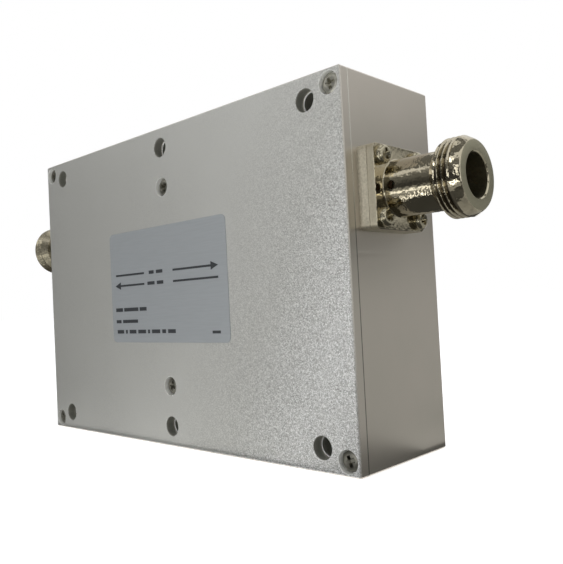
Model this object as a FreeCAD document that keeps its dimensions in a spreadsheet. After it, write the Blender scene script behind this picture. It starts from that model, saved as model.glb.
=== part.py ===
import FreeCAD, Part
import os
import re
import Sketcher
from FreeCAD import Placement, Rotation, Vector

# A two-port ferrite circulator of the isolator kind: two junctions in line in one milled
# aluminium housing, the third port of each ended by a load inside, and a threaded coaxial
# connector on each end.
# Frame: +X along the housing to the right-hand port, +Y from the labelled cover to the mounting
# face, +Z up. The origin is the middle of the base.

doc = FreeCAD.newDocument("rf_circulator")

SIZES = (
    ("housing_length", 120.0, "end face to end face"),
    ("housing_height", 82.8, "base to top"),
    ("housing_depth", 33.0, "cover face to mounting face"),
    ("cover_thickness", 2.6, "front cover"),
    ("edge_chamfer", 0.4, "broken outer edges of housing and cover"),
    ("end_wall", 12.5, "end face to junction pocket"),
    ("mount_inset_along", 9.6, "mounting hole to end face"),
    ("mount_inset_up", 5.2, "mounting hole to base or top"),
    ("mount_hole", 4.5, "mounting hole diameter in the housing"),
    ("cover_hole", 5.0, "mounting hole diameter in the cover"),
    ("corner_screw_inset", 3.1, "cover screw to both outer faces at a corner"),
    ("middle_screw_inset", 15.5, "middle cover screw to base or top"),
    ("cover_screw_head", 4.4, "head diameter"),
    ("cover_screw_head_height", 1.2, "head height"),
    ("cover_screw_sink", 4.9, "counterbore diameter"),
    ("cover_screw_web", 0.8, "cover left under the head"),
    ("label_length", 49.2, "label along the housing"),
    ("label_height", 30.5, "label up the housing"),
    ("label_thickness", 0.15, "label foil"),
    ("label_corner", 1.5, "corner radius"),
    ("label_shift", 0.5, "label centre left of the housing's middle"),
    ("label_centre", 42.0, "label centre above the base"),
    ("port_drop", 24.8, "connector axis below the top"),
    ("port_screw_pitch", 12.7, "square of the four connector screws"),
    ("port_screw_head", 4.0, "head diameter"),
    ("port_screw_head_height", 1.6, "head height"),
    ("plate_side", 17.5, "square spacer and flange"),
    ("plate_corner", 1.2, "their corner radius"),
    ("spacer_thickness", 2.4, "spacer plate"),
    ("flange_thickness", 1.8, "connector flange"),
    ("barrel_length", 17.6, "flange face to mouth"),
    ("barrel_diameter", 12.0, "plain barrel"),
    ("thread_diameter", 15.8, "crests of the 5/8 inch coupling thread"),
    ("thread_length", 3.5, "threaded stretch"),
    ("thread_shoulder", 1.8, "cone from barrel to thread"),
    ("lead_length", 1.7, "cone in front of the thread"),
    ("lead_diameter", 14.1, "front end of that cone"),
    ("lip_chamfer", 0.3, "outer chamfer of the mouth"),
    ("mouth_diameter", 8.9, "mouth bore"),
    ("mouth_depth", 9.5, "mouth to insulator"),
    ("vent_diameter", 1.8, "cross hole that locks the insulator"),
    ("vent_offset", 1.9, "flange face to cross hole"),
    ("insulator_diameter", 8.0, "dielectric rod"),
    ("insulator_setback", 1.0, "rod's inner end short of the pocket"),
    ("slip_clearance", 0.05, "gap between pieces that slide together"),
    ("contact_diameter", 3.1, "socket end of the contact"),
    ("contact_recess", 5.0, "mouth to socket"),
    ("contact_bore", 1.7, "socket bore"),
    ("contact_slot", 0.35, "slot width"),
    ("contact_slot_length", 3.2, "slot and bore depth"),
    ("contact_shank", 2.4, "shank in the insulator"),
    ("solder_overlap", 3.0, "lap of each soldered joint"),
    ("pocket_side", 36.0, "square junction pocket"),
    ("cutter_radius", 3.0, "corners of pockets and bays"),
    ("plate_clearance", 0.3, "gap between a plate and the pocket wall"),
    ("conductor_thickness", 0.5, "centre conductor"),
    ("ferrite_thickness", 2.75, "one ferrite disc"),
    ("ferrite_diameter", 26.0, "ferrite disc"),
    ("pole_thickness", 1.0, "pole plate"),
    ("magnet_side", 30.0, "square biasing magnet"),
    ("magnet_thickness", 4.8, "biasing magnet"),
    ("return_thickness", 1.5, "steel return plate"),
    ("rotor_diameter", 15.0, "middle disc of the conductor"),
    ("arm_width", 3.0, "conductor arm"),
    ("arm_gap", 1.0, "arm end to pocket wall"),
    ("stub_width", 4.0, "tuning stub"),
    ("stub_reach", 11.0, "junction centre to stub end"),
    ("capacitor_length", 2.6, "chip capacitor along the arm"),
    ("capacitor_width", 2.8, "chip capacitor across the arm"),
    ("channel_width", 8.0, "channel through the web between the junctions"),
    ("strap_thickness", 0.25, "foil of the strap and of the load leads"),
    ("support_length", 6.0, "block under the strap"),
    ("bay_width", 26.0, "load bay along the housing"),
    ("bay_bottom", 9.0, "base to load bay"),
    ("load_centre", 22.0, "load above the base"),
    ("load_flange_length", 22.0, "copper flange"),
    ("load_flange_width", 9.5, "copper flange across"),
    ("load_flange_thickness", 1.5, "copper flange"),
    ("load_element_side", 8.0, "ceramic element"),
    ("load_element_thickness", 1.0, "ceramic element"),
)
SIZE_NAMES = {name for name, value, meaning in SIZES}

# What follows from the driving sizes. Depths in Y, lengths in X, heights in Z.
WORKED_OUT = {
    "half_length": "housing_length / 2",
    "front_face": "-housing_depth / 2",
    "seat_face": "front_face + cover_thickness",
    "body_depth": "housing_depth - cover_thickness",
    "conductor_half": "conductor_thickness / 2",
    "ferrite_outer": "conductor_half + ferrite_thickness",
    "pole_outer": "ferrite_outer + pole_thickness",
    "magnet_outer": "pole_outer + magnet_thickness",
    "stack_half": "magnet_outer + return_thickness",
    "middle_plane": "seat_face + stack_half",
    "port_height": "housing_height - port_drop",
    "junction_offset": "half_length - end_wall - pocket_side / 2",
    "stack_side": "pocket_side - 2 * plate_clearance",
    "arm_reach": "pocket_side / 2 - arm_gap",
    "solder_face": "middle_plane - conductor_half",
    "element_back": "solder_face + load_element_thickness",
    "bay_floor": "element_back + load_flange_thickness",
    "channel_floor": "middle_plane + channel_width / 2",
    "mount_along": "half_length - mount_inset_along",
    "corner_along": "half_length - corner_screw_inset",
    "cover_screw_seat": "seat_face - cover_screw_web",
    "flange_back": "half_length + spacer_thickness",
    "flange_face": "flange_back + flange_thickness",
    "mouth_plane": "flange_face + barrel_length",
    "shoulder_plane": "mouth_plane - mouth_depth",
    "insulator_inner": "half_length - end_wall + insulator_setback",
    "wall_bore": "insulator_diameter + 2 * slip_clearance",
    "capacitor_middle": "(ferrite_diameter + stack_side) / 4",
    "port_screw_offset": "port_screw_pitch / 2",
}


def write_sizes():
    """Puts the driving sizes in a sheet, one row each."""
    sheet = doc.addObject("Spreadsheet::Sheet", "Sizes")
    for row, (name, value, meaning) in enumerate(SIZES, start=1):
        sheet.set(f"A{row}", name)
        sheet.set(f"B{row}", str(value))
        sheet.set(f"C{row}", meaning)
        sheet.setAlias(f"B{row}", name)
    doc.recompute()
    return sheet


sizes = write_sizes()


def expand(text):
    """The same expression written with cells of the sheet only."""
    def swap(match):
        word = match.group()
        if word in WORKED_OUT:
            return f"({expand(WORKED_OUT[word])})"
        return f"Sizes.{word}" if word in SIZE_NAMES else word
    return re.sub(r"[a-z_]+", swap, text)


def number(text):
    return float(sizes.evalExpression(expand(text)))


def bind(thing, path, text):
    thing.setExpression(path, expand(text))


def put(thing, x="0", y="0", z="0", turn=Rotation()):
    """Places a piece, each coordinate bound to its expression."""
    thing.Placement = Placement(Vector(number(x), number(y), number(z)), turn)
    for axis, text in (("x", x), ("y", y), ("z", z)):
        if text != "0":
            bind(thing, f"Placement.Base.{axis}", text)


# Sketches

def new_body(label):
    body = doc.addObject("PartDesign::Body", label)
    body.Label = label
    return body


def new_sketch(body, name, plane, offset="0"):
    sketch = body.newObject("Sketcher::SketchObject", name)
    origin_plane = next(item for item in body.Origin.OriginFeatures if item.Role == plane)
    sketch.AttachmentSupport = (origin_plane, [""])
    sketch.MapMode = "FlatFace"
    if offset != "0":
        bind(sketch, "AttachmentOffset.Base.z", offset)
    return sketch


ORIGIN_POINT = (-1, 1)
ACROSS_AXIS = -1
UP_AXIS = -2
LINE_START, LINE_END, CIRCLE_CENTRE = 1, 2, 3


def fix_point(sketch, geometry, point, across, up):
    for kind, axis, text in (("DistanceX", UP_AXIS, across), ("DistanceY", ACROSS_AXIS, up)):
        if text == "0":
            sketch.addConstraint(Sketcher.Constraint("PointOnObject", geometry, point, axis))
        else:
            index = sketch.addConstraint(
                Sketcher.Constraint(kind, *ORIGIN_POINT, geometry, point, number(text)))
            bind(sketch, f"Constraints[{index}]", text)


def add_circle(sketch, diameter, across="0", up="0"):
    centre = Vector(number(across), number(up), 0)
    circle = Part.Circle(centre, Vector(0, 0, 1), number(diameter) / 2)
    geometry = sketch.addGeometry(circle, False)
    index = sketch.addConstraint(Sketcher.Constraint("Diameter", geometry, number(diameter)))
    bind(sketch, f"Constraints[{index}]", diameter)
    fix_point(sketch, geometry, CIRCLE_CENTRE, across, up)


def add_polygon(sketch, points):
    """A closed outline through points given as pairs of expressions."""
    places = [Vector(number(across), number(up), 0) for across, up in points]
    lines = [sketch.addGeometry(Part.LineSegment(start, end), False)
             for start, end in zip(places, places[1:] + places[:1])]
    for line, following in zip(lines, lines[1:] + lines[:1]):
        joint = Sketcher.Constraint("Coincident", line, LINE_END, following, LINE_START)
        sketch.addConstraint(joint)
    for line, (across, up) in zip(lines, points):
        fix_point(sketch, line, LINE_START, across, up)


def add_rectangle(sketch, left, right, bottom, top):
    add_polygon(sketch, ((left, bottom), (right, bottom), (right, top), (left, top)))


def add_square(sketch, side):
    add_rectangle(sketch, f"-{side} / 2", f"{side} / 2", f"-{side} / 2", f"{side} / 2")


# Features

def grow(body, sketch, name, length, reverse=False):
    """Pads a sketch, by default along its plane's normal."""
    pad = body.newObject("PartDesign::Pad", name)
    pad.Profile = sketch
    pad.Reversed = reverse
    bind(pad, "Length", length)
    doc.recompute()
    return pad


def turn_profile(body, sketch, name):
    """Turns a half section about the sketch's horizontal axis."""
    feature = body.newObject("PartDesign::Revolution", name)
    feature.Profile = sketch
    feature.ReferenceAxis = (sketch, ["H_Axis"])
    feature.Angle = 360
    doc.recompute()
    return feature


def cut(body, sketch, name, length=None, reverse=False):
    """Pockets a sketch against its plane's normal, right through where no length is given."""
    before = body.Shape.Volume
    pocket = body.newObject("PartDesign::Pocket", name)
    pocket.Profile = sketch
    pocket.Reversed = reverse
    if length is None:
        pocket.Type = "ThroughAll"
    else:
        bind(pocket, "Length", length)
    doc.recompute()
    if not pocket.Shape.Volume < before:
        raise RuntimeError(f"{body.Label}: {name} cuts nothing")
    return pocket


def straight_edges(shape, test):
    """Names of the straight edges whose two ends pass the test."""
    return [f"Edge{index}" for index, edge in enumerate(shape.Edges, start=1)
            if len(edge.Vertexes) == 2 and test(*(vertex.Point for vertex in edge.Vertexes))]


def dress(body, kind, name, edges, size):
    base = body.Tip
    feature = body.newObject(f"PartDesign::{kind}", name)
    feature.Base = (base, edges)
    bind(feature, "Size" if kind == "Chamfer" else "Radius", size)
    doc.recompute()
    return feature


def same(one, other):
    return abs(one - other) < 1e-6


def break_outer_edges(body, seam_depth):
    """Chamfers the edges from outer corner to outer corner, apart from those in the seam."""
    half, top = number("half_length"), number("housing_height")

    def outer_corner(point):
        return same(abs(point.x), half) and (same(point.z, 0) or same(point.z, top))

    def in_seam(point):
        return same(point.y, seam_depth)

    def wanted(start, end):
        return outer_corner(start) and outer_corner(end) and not (in_seam(start) and in_seam(end))

    dress(body, "Chamfer", "BrokenEdges", straight_edges(body.Shape, wanted), "edge_chamfer")


def round_plate_corners(body, side, radius, thickness_axis):
    """Rounds the four short edges of a square or oblong plate centred on the origin."""
    def wanted(start, end):
        along = (end - start).normalize()
        return same(abs(getattr(along, thickness_axis)), 1) and all(
            same(abs(getattr(start, axis)), number(size) / 2) for axis, size in side)

    dress(body, "Fillet", "RoundedCorners", straight_edges(body.Shape, wanted), radius)


# Where the screws and holes stand, seen from the cover, as pairs of expressions

MOUNT_PLACES = [(across, up)
                for across in ("-mount_along", "0", "mount_along")
                for up in ("mount_inset_up", "housing_height - mount_inset_up")]
COVER_SCREW_PLACES = [(across, up)
                      for across in ("-corner_along", "corner_along")
                      for up in ("corner_screw_inset", "housing_height - corner_screw_inset")]
COVER_SCREW_PLACES += [("0", "middle_screw_inset"), ("0", "housing_height - middle_screw_inset")]
PORT_SCREW_PLACES = [(across, up)
                     for across in ("-port_screw_offset", "port_screw_offset")
                     for up in ("-port_screw_offset", "port_screw_offset")]
SIDES = (("left", "-"), ("right", ""))

subparts = []


def keep(piece):
    subparts.append(piece)
    return piece


# Housing and cover

def outer_rectangle(sketch):
    add_rectangle(sketch, "-half_length", "half_length", "0", "housing_height")


def make_housing():
    """Milled block, open towards the cover. Its own depth runs from the cover's seat."""
    body = keep(new_body("housing"))
    block = new_sketch(body, "BlockOutline", "XZ_Plane")
    outer_rectangle(block)
    grow(body, block, "Block", "body_depth", reverse=True)

    def upright_at(heights):
        """Edges square to the cover at these heights, inside the outer faces."""
        levels = [number(height) for height in heights]

        def wanted(start, end):
            inside = abs(start.x) < number("half_length") - number("edge_chamfer")
            return (inside and same(start.x, end.x) and same(start.z, end.z)
                    and any(same(start.z, level) for level in levels))
        return straight_edges(body.Shape, wanted)

    pocket_bottom, pocket_top = "port_height - pocket_side / 2", "port_height + pocket_side / 2"
    pockets = new_sketch(body, "PocketOutlines", "XZ_Plane")
    for side, sign in SIDES:
        add_rectangle(pockets, f"{sign}junction_offset - pocket_side / 2",
                      f"{sign}junction_offset + pocket_side / 2", pocket_bottom, pocket_top)
    cut(body, pockets, "JunctionPockets", "2 * stack_half")
    dress(body, "Fillet", "PocketCorners", upright_at((pocket_bottom, pocket_top)),
          "cutter_radius")

    bays = new_sketch(body, "BayOutlines", "XZ_Plane")
    for side, sign in SIDES:
        add_rectangle(bays, f"{sign}junction_offset - bay_width / 2",
                      f"{sign}junction_offset + bay_width / 2", "bay_bottom", "port_height")
    cut(body, bays, "LoadBays", "bay_floor - seat_face")
    dress(body, "Fillet", "BayCorners", upright_at(("bay_bottom",)), "cutter_radius")

    channel = new_sketch(body, "ChannelOutline", "XZ_Plane")
    add_rectangle(channel, "-junction_offset", "junction_offset",
                  "port_height - channel_width / 2", "port_height + channel_width / 2")
    cut(body, channel, "Channel", "channel_floor - seat_face")

    mounts = new_sketch(body, "MountHoleCircles", "XZ_Plane")
    for across, up in MOUNT_PLACES:
        add_circle(mounts, "mount_hole", across, up)
    cut(body, mounts, "MountHoles")

    for side, sign in SIDES:
        inward = side == "left"
        end = f"{sign}half_length"
        bore = new_sketch(body, f"PortBore_{side}", "YZ_Plane", end)
        add_circle(bore, "wall_bore", "stack_half", "port_height")
        cut(body, bore, f"PortBoreCut_{side}", "end_wall + arm_gap", inward)

    break_outer_edges(body, seam_depth=0)
    put(body, y="seat_face")


def make_front_cover():
    """Plate screwed over the pockets. Its own depth runs from its outer face."""
    body = keep(new_body("front_cover"))
    plate = new_sketch(body, "PlateOutline", "XZ_Plane")
    outer_rectangle(plate)
    grow(body, plate, "Plate", "cover_thickness", reverse=True)

    mounts = new_sketch(body, "MountHoleCircles", "XZ_Plane")
    for across, up in MOUNT_PLACES:
        add_circle(mounts, "cover_hole", across, up)
    cut(body, mounts, "MountHoles")

    sinks = new_sketch(body, "HeadSinkCircles", "XZ_Plane")
    for across, up in COVER_SCREW_PLACES:
        add_circle(sinks, "cover_screw_sink", across, up)
    cut(body, sinks, "HeadSinks", "cover_thickness - cover_screw_web")

    break_outer_edges(body, seam_depth=number("cover_thickness"))
    put(body, y="front_face")


def make_rating_label():
    """Foil stuck on the cover, rounded at its corners."""
    body = keep(new_body("rating_label"))
    outline = new_sketch(body, "LabelOutline", "XZ_Plane")
    add_rectangle(outline, "-label_length / 2", "label_length / 2",
                  "-label_height / 2", "label_height / 2")
    grow(body, outline, "Foil", "label_thickness")
    round_plate_corners(body, (("x", "label_length"), ("z", "label_height")), "label_corner", "y")
    put(body, "-label_shift", "front_face", "label_centre")


# Screws and connectors. Each piece is made once with its axis along its own X, outward, and set
# at each of its places. The screws are their heads: the shanks are hidden in the solid walls.

FACING_COVER = Rotation(Vector(0, 0, 1), -90)
FACING_RIGHT = Rotation()
FACING_LEFT = Rotation(Vector(0, 1, 0), 180)


def set_pieces(label, piece, places):
    """One node with a separate solid at each place, given as three expressions and a turn."""
    links = []
    for x, y, z, turn in places:
        link = doc.addObject("App::Link", f"{label}_{len(links) + 1}")
        link.LinkedObject = piece
        put(link, x, y, z, turn)
        links.append(link)
    group = keep(doc.addObject("Part::Compound", label))
    group.Label = label
    group.Links = links


def port_places(plane, around=(("0", "0"),)):
    """The same places about both ports' axes, at a plane outward of the middle."""
    return [(f"{sign}{plane}", f"middle_plane + {across}", f"port_height + {up}", turn)
            for sign, turn in (("-", FACING_LEFT), ("", FACING_RIGHT))
            for across, up in around]


def make_screw_head(name, diameter, height):
    body = new_body(name)
    circle = new_sketch(body, "HeadCircle", "YZ_Plane")
    add_circle(circle, diameter)
    grow(body, circle, "Head", height)
    return body


def make_screws():
    cover_screw = make_screw_head("cover_screw", "cover_screw_head", "cover_screw_head_height")
    set_pieces("cover_screws", cover_screw,
               [(across, "cover_screw_seat", up, FACING_COVER)
                for across, up in COVER_SCREW_PLACES])
    port_screw = make_screw_head("port_screw", "port_screw_head", "port_screw_head_height")
    set_pieces("connector_screws", port_screw, port_places("flange_face", PORT_SCREW_PLACES))


def square_plate(body, thickness):
    outline = new_sketch(body, "PlateOutline", "YZ_Plane")
    add_square(outline, "plate_side")
    add_circle(outline, "wall_bore")
    grow(body, outline, "Plate", thickness)
    round_plate_corners(body, (("y", "plate_side"), ("z", "plate_side")), "plate_corner", "x")


def make_connector_spacers():
    body = new_body("connector_spacer")
    square_plate(body, "spacer_thickness")
    set_pieces("connector_spacers", body, port_places("half_length"))


def make_connector_shells():
    """Turned flange and barrel in one piece. Its own length runs from the flange's back."""
    body = new_body("connector_shell")
    square_plate(body, "flange_thickness")
    section = new_sketch(body, "BarrelSection", "XZ_Plane")
    mouth = "flange_thickness + barrel_length"
    thread_front = f"{mouth} - lead_length"
    thread_back = f"{thread_front} - thread_length"
    add_polygon(section, (
        ("0", "wall_bore / 2"),
        ("0", "barrel_diameter / 2"),
        (f"{thread_back} - thread_shoulder", "barrel_diameter / 2"),
        (thread_back, "thread_diameter / 2"),
        (thread_front, "thread_diameter / 2"),
        (f"{mouth} - lip_chamfer", "lead_diameter / 2"),
        (mouth, "lead_diameter / 2 - lip_chamfer"),
        (mouth, "mouth_diameter / 2"),
        (f"{mouth} - mouth_depth", "mouth_diameter / 2"),
        (f"{mouth} - mouth_depth", "wall_bore / 2")))
    turn_profile(body, section, "Barrel")
    vent = new_sketch(body, "VentCircle", "XZ_Plane")
    add_circle(vent, "vent_diameter", "flange_thickness + vent_offset")
    cut(body, vent, "Vent", "barrel_diameter", reverse=True)
    set_pieces("connector_shells", body, port_places("flange_back"))


def make_connector_insulators():
    """Dielectric rod from the mouth's shoulder through flange, spacer and end wall."""
    body = new_body("connector_insulator")
    rings = new_sketch(body, "RodCircles", "YZ_Plane")
    add_circle(rings, "insulator_diameter")
    add_circle(rings, "contact_shank + 2 * slip_clearance")
    grow(body, rings, "Rod", "shoulder_plane - insulator_inner")
    set_pieces("connector_insulators", body, port_places("insulator_inner"))


def make_connector_contacts():
    """Slotted socket, shank and flat tail. Its own length runs from the insulator's front."""
    body = new_body("connector_contact")
    section = new_sketch(body, "Section", "XZ_Plane")
    front = "mouth_depth - contact_recess"
    rod_back = "insulator_inner - shoulder_plane"
    tail_end = "junction_offset + arm_reach - solder_overlap - shoulder_plane"
    add_polygon(section, (
        (tail_end, "0"),
        (tail_end, "contact_shank / 2"),
        ("0", "contact_shank / 2"),
        ("0", "contact_diameter / 2"),
        (front, "contact_diameter / 2"),
        (front, "contact_bore / 2"),
        (f"{front} - contact_slot_length", "contact_bore / 2"),
        (f"{front} - contact_slot_length", "0")))
    turn_profile(body, section, "Turned")
    for name, across, up in (("UprightSlot", "contact_slot", "contact_diameter"),
                             ("LevelSlot", "contact_diameter", "contact_slot")):
        slot = new_sketch(body, f"{name}Outline", "YZ_Plane", front)
        add_rectangle(slot, f"-{across} / 2", f"{across} / 2", f"-{up} / 2", f"{up} / 2")
        cut(body, slot, name, "contact_slot_length")
    flat = new_sketch(body, "FlatOutline", "YZ_Plane", rod_back)
    add_rectangle(flat, "-conductor_half", "contact_shank", "-contact_shank", "contact_shank")
    cut(body, flat, "Flat", "contact_shank + end_wall")
    set_pieces("connector_contacts", body, port_places("shoulder_plane"))


# Junctions. A stack either side of the flat centre conductor fills the pocket from its floor
# to the cover: ferrite disc, pole plate, square magnet and steel return plate.

AXIS_TO_BACK = Rotation(Vector(1, 0, 0), -90)


def make_disc(label, sign, diameter, thickness, near_face):
    disc = keep(doc.addObject("Part::Cylinder", label))
    disc.Label = label
    bind(disc, "Radius", f"{diameter} / 2")
    bind(disc, "Height", thickness)
    put(disc, f"{sign}junction_offset", near_face, "port_height", AXIS_TO_BACK)


def make_stack_plate(label, sign, thickness, near_face):
    """Square plate with its corners clipped to clear the pocket's."""
    plate = keep(new_body(label))
    outline = new_sketch(plate, "PlateOutline", "XZ_Plane")
    half, clipped = "stack_side / 2", "stack_side / 2 - cutter_radius"
    corners = ((clipped, half), (half, clipped))
    quarter = []
    for across_sign, up_sign in (("", ""), ("", "-"), ("-", "-"), ("-", "")):
        pair = [(f"{across_sign}({across})", f"{up_sign}({up})") for across, up in corners]
        quarter += pair if across_sign == up_sign else pair[::-1]
    add_polygon(outline, quarter)
    grow(plate, outline, "Plate", thickness, reverse=True)
    put(plate, f"{sign}junction_offset", near_face, "port_height")


def make_stack(side, sign):
    """Each layer twice, in front of the conductor and behind it."""
    layers = (
        ("ferrite", "conductor_half", "ferrite_thickness"),
        ("pole_plate", "ferrite_outer", "pole_thickness"),
        ("magnet", "pole_outer", "magnet_thickness"),
        ("return_plate", "magnet_outer", "return_thickness"))
    for layer, inner, thickness in layers:
        for place, near_face in (("front", f"middle_plane - {inner} - {thickness}"),
                                 ("rear", f"middle_plane + {inner}")):
            label = f"{side}_{place}_{layer}"
            if layer == "ferrite":
                make_disc(label, sign, "ferrite_diameter", thickness, near_face)
            elif layer == "magnet":
                make_block(label, "magnet_side", thickness, "magnet_side",
                           f"{sign}junction_offset - magnet_side / 2", near_face,
                           "port_height - magnet_side / 2")
            else:
                make_stack_plate(label, sign, thickness, near_face)


ARM_TURNS = (0, 180, 270)
STUB_TURNS = (45, 135, 270 - 45, 270 + 45)


def add_bar(body, name, reach, width, angle):
    """A bar from the junction's centre outwards, in the conductor's plane."""
    bar = new_sketch(body, f"{name}Outline", "XZ_Plane")
    bar.AttachmentOffset = Placement(Vector(), Rotation(Vector(0, 0, 1), angle))
    add_rectangle(bar, "0", reach, f"-{width} / 2", f"{width} / 2")
    grow(body, bar, name, "conductor_thickness").SideType = "Symmetric"


def make_centre_conductor(side, sign):
    """Flat rotor with an arm to each port and a tuning stub between each two."""
    body = keep(new_body(f"{side}_centre_conductor"))
    rotor = new_sketch(body, "RotorCircle", "XZ_Plane")
    add_circle(rotor, "rotor_diameter")
    grow(body, rotor, "Rotor", "conductor_thickness").SideType = "Symmetric"
    for angle in ARM_TURNS:
        add_bar(body, f"Arm_{angle}", "arm_reach", "arm_width", angle)
    for angle in STUB_TURNS:
        add_bar(body, f"Stub_{angle}", "stub_reach", "stub_width", angle)
    put(body, f"{sign}junction_offset", "middle_plane", "port_height")


def make_tuning_capacitors(side, sign):
    """Three chips between the rear pole plate and the arms."""
    chips = []
    for angle in ARM_TURNS:
        chip = doc.addObject("Part::Box", f"{side}_chip_{angle}")
        upright = angle == 270
        bind(chip, "Length", "capacitor_width" if upright else "capacitor_length")
        bind(chip, "Width", "ferrite_thickness")
        bind(chip, "Height", "capacitor_length" if upright else "capacitor_width")
        across = {0: "capacitor_middle - capacitor_length / 2",
                  180: "-capacitor_middle - capacitor_length / 2",
                  270: "-capacitor_width / 2"}[angle]
        up = "-capacitor_middle - capacitor_length / 2" if upright else "-capacitor_width / 2"
        put(chip, f"{sign}junction_offset + {across}", "middle_plane + conductor_half",
            f"port_height + {up}")
        chips.append(chip)
    group = keep(doc.addObject("Part::Compound", f"{side}_tuning_capacitors"))
    group.Label = f"{side}_tuning_capacitors"
    group.Links = chips


# Loads, strap and its support

def make_block(label, length, depth, height, left, near, bottom):
    block = keep(doc.addObject("Part::Box", label))
    block.Label = label
    bind(block, "Length", length)
    bind(block, "Width", depth)
    bind(block, "Height", height)
    put(block, left, near, bottom)


def make_load(side, sign):
    """Film resistor that ends the third port: soldered flange, ceramic element and lead."""
    make_block(f"{side}_load_flange",
               "load_flange_length", "load_flange_thickness", "load_flange_width",
               f"{sign}junction_offset - load_flange_length / 2", "element_back",
               "load_centre - load_flange_width / 2")
    make_block(f"{side}_load_element",
               "load_element_side", "load_element_thickness", "load_element_side",
               f"{sign}junction_offset - load_element_side / 2", "solder_face",
               "load_centre - load_element_side / 2")
    lead_top = "port_height - arm_reach + solder_overlap"
    make_block(f"{side}_load_lead",
               "arm_width", "strap_thickness", f"{lead_top} - load_centre",
               f"{sign}junction_offset - arm_width / 2", "solder_face - strap_thickness",
               "load_centre")


def make_interconnect():
    """Foil strap between the junctions, on a plastic block in the channel."""
    strap_half = "junction_offset - arm_reach + solder_overlap"
    make_block("interconnect_strap",
               f"2 * ({strap_half})", "strap_thickness", "arm_width",
               f"-({strap_half})", "solder_face - strap_thickness",
               "port_height - arm_width / 2")
    make_block("strap_support",
               "support_length", "channel_floor - solder_face",
               "channel_width - 2 * slip_clearance",
               "-support_length / 2", "solder_face",
               "port_height - channel_width / 2 + slip_clearance")


def write_parts():
    """Checks every object and writes one file for each sub-part."""
    doc.recompute()
    for thing in doc.Objects:
        if {"Invalid", "Error"} & set(thing.State):
            raise RuntimeError(f"{thing.Label} did not build: {thing.State}")
    for piece in subparts:
        if piece.Shape.isNull() or not piece.Shape.isValid():
            raise RuntimeError(f"{piece.Label} has no valid shape")
    os.makedirs("parts", exist_ok=True)
    for piece in subparts:
        piece.Shape.exportStep(os.path.join("parts", f"{piece.Label}.step"))
    print(len(subparts), "sub-parts written")


make_housing()
make_front_cover()
make_rating_label()
make_screws()
make_connector_spacers()
make_connector_shells()
make_connector_insulators()
make_connector_contacts()
for side, sign in SIDES:
    make_stack(side, sign)
    make_centre_conductor(side, sign)
    make_tuning_capacitors(side, sign)
    make_load(side, sign)
make_interconnect()
write_parts()
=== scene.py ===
import math

import bpy
from mathutils import Matrix, Quaternion, Vector


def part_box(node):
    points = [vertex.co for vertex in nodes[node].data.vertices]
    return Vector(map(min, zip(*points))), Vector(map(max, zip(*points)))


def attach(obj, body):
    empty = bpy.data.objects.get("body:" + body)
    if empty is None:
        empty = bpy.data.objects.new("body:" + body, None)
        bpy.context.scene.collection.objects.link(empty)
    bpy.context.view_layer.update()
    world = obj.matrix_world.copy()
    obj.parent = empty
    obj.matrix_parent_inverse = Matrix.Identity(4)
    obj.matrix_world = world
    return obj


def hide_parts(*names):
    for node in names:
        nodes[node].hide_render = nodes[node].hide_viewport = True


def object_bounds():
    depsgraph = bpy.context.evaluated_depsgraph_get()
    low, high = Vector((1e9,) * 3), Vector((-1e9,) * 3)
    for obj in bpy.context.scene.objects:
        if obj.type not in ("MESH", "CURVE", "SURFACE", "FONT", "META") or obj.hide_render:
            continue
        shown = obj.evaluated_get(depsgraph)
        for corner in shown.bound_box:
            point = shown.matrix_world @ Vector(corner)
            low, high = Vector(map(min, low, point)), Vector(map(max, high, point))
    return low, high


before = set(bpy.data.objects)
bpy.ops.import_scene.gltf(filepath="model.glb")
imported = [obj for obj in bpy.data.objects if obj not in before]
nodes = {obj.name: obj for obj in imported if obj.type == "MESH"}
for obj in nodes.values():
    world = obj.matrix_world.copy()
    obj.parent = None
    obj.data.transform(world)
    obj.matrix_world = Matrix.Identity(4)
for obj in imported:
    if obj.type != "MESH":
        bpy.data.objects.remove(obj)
cad_low, cad_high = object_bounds()
MM = 0.001

# Materials: short functions for the shader nodes that come up most, and others that start a
# material, end it and give it to a CAD node.


def linear(hex_colour):
    """An sRGB colour as Blender's linear one, with its alpha."""
    shares = [int(hex_colour[at:at + 2], 16) / 255 for at in (0, 2, 4)]
    return tuple(share / 12.92 if share <= 0.04045 else ((share + 0.055) / 1.055) ** 2.4
                 for share in shares) + (1.0,)


def add(tree, kind, inputs=None, out=None, **settings):
    """Adds a node with its settings, values and links. Gives the output named, or the first."""
    node = tree.nodes.new(kind)
    for name, value in settings.items():
        setattr(node, name, value)
    sockets = {socket.identifier: socket for socket in node.inputs}
    for name, value in (inputs or {}).items():
        if isinstance(value, bpy.types.NodeSocket):
            tree.links.new(value, sockets[name])
        else:
            sockets[name].default_value = value
    outputs = [socket for socket in node.outputs if socket.enabled]
    return node.outputs[out] if out else outputs[0] if outputs else node


def coordinate(tree, place, axis):
    """One coordinate of a place."""
    return add(tree, "ShaderNodeSeparateXYZ", {"Vector": place}, out=axis)


def maths(tree, operation, *values, **settings):
    """The result of one operation on numbers or links."""
    inputs = dict(zip(("Value", "Value_001", "Value_002"), values))
    return add(tree, "ShaderNodeMath", inputs, operation=operation, **settings)


def ranged(tree, value, start=0.0, end=1.0, first=0.0, last=1.0):
    """Goes from first to last as the value goes from start to end, and stays level beyond."""
    return add(tree, "ShaderNodeMapRange", {"Value": value, "From Min": start, "From Max": end,
                                            "To Min": first, "To Max": last})


def mixed_value(tree, share, first, second):
    """The first value where the share is 0, the second where it is 1."""
    return add(tree, "ShaderNodeMix", {"Factor_Float": share, "A_Float": first,
                                       "B_Float": second}, data_type="FLOAT")


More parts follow.
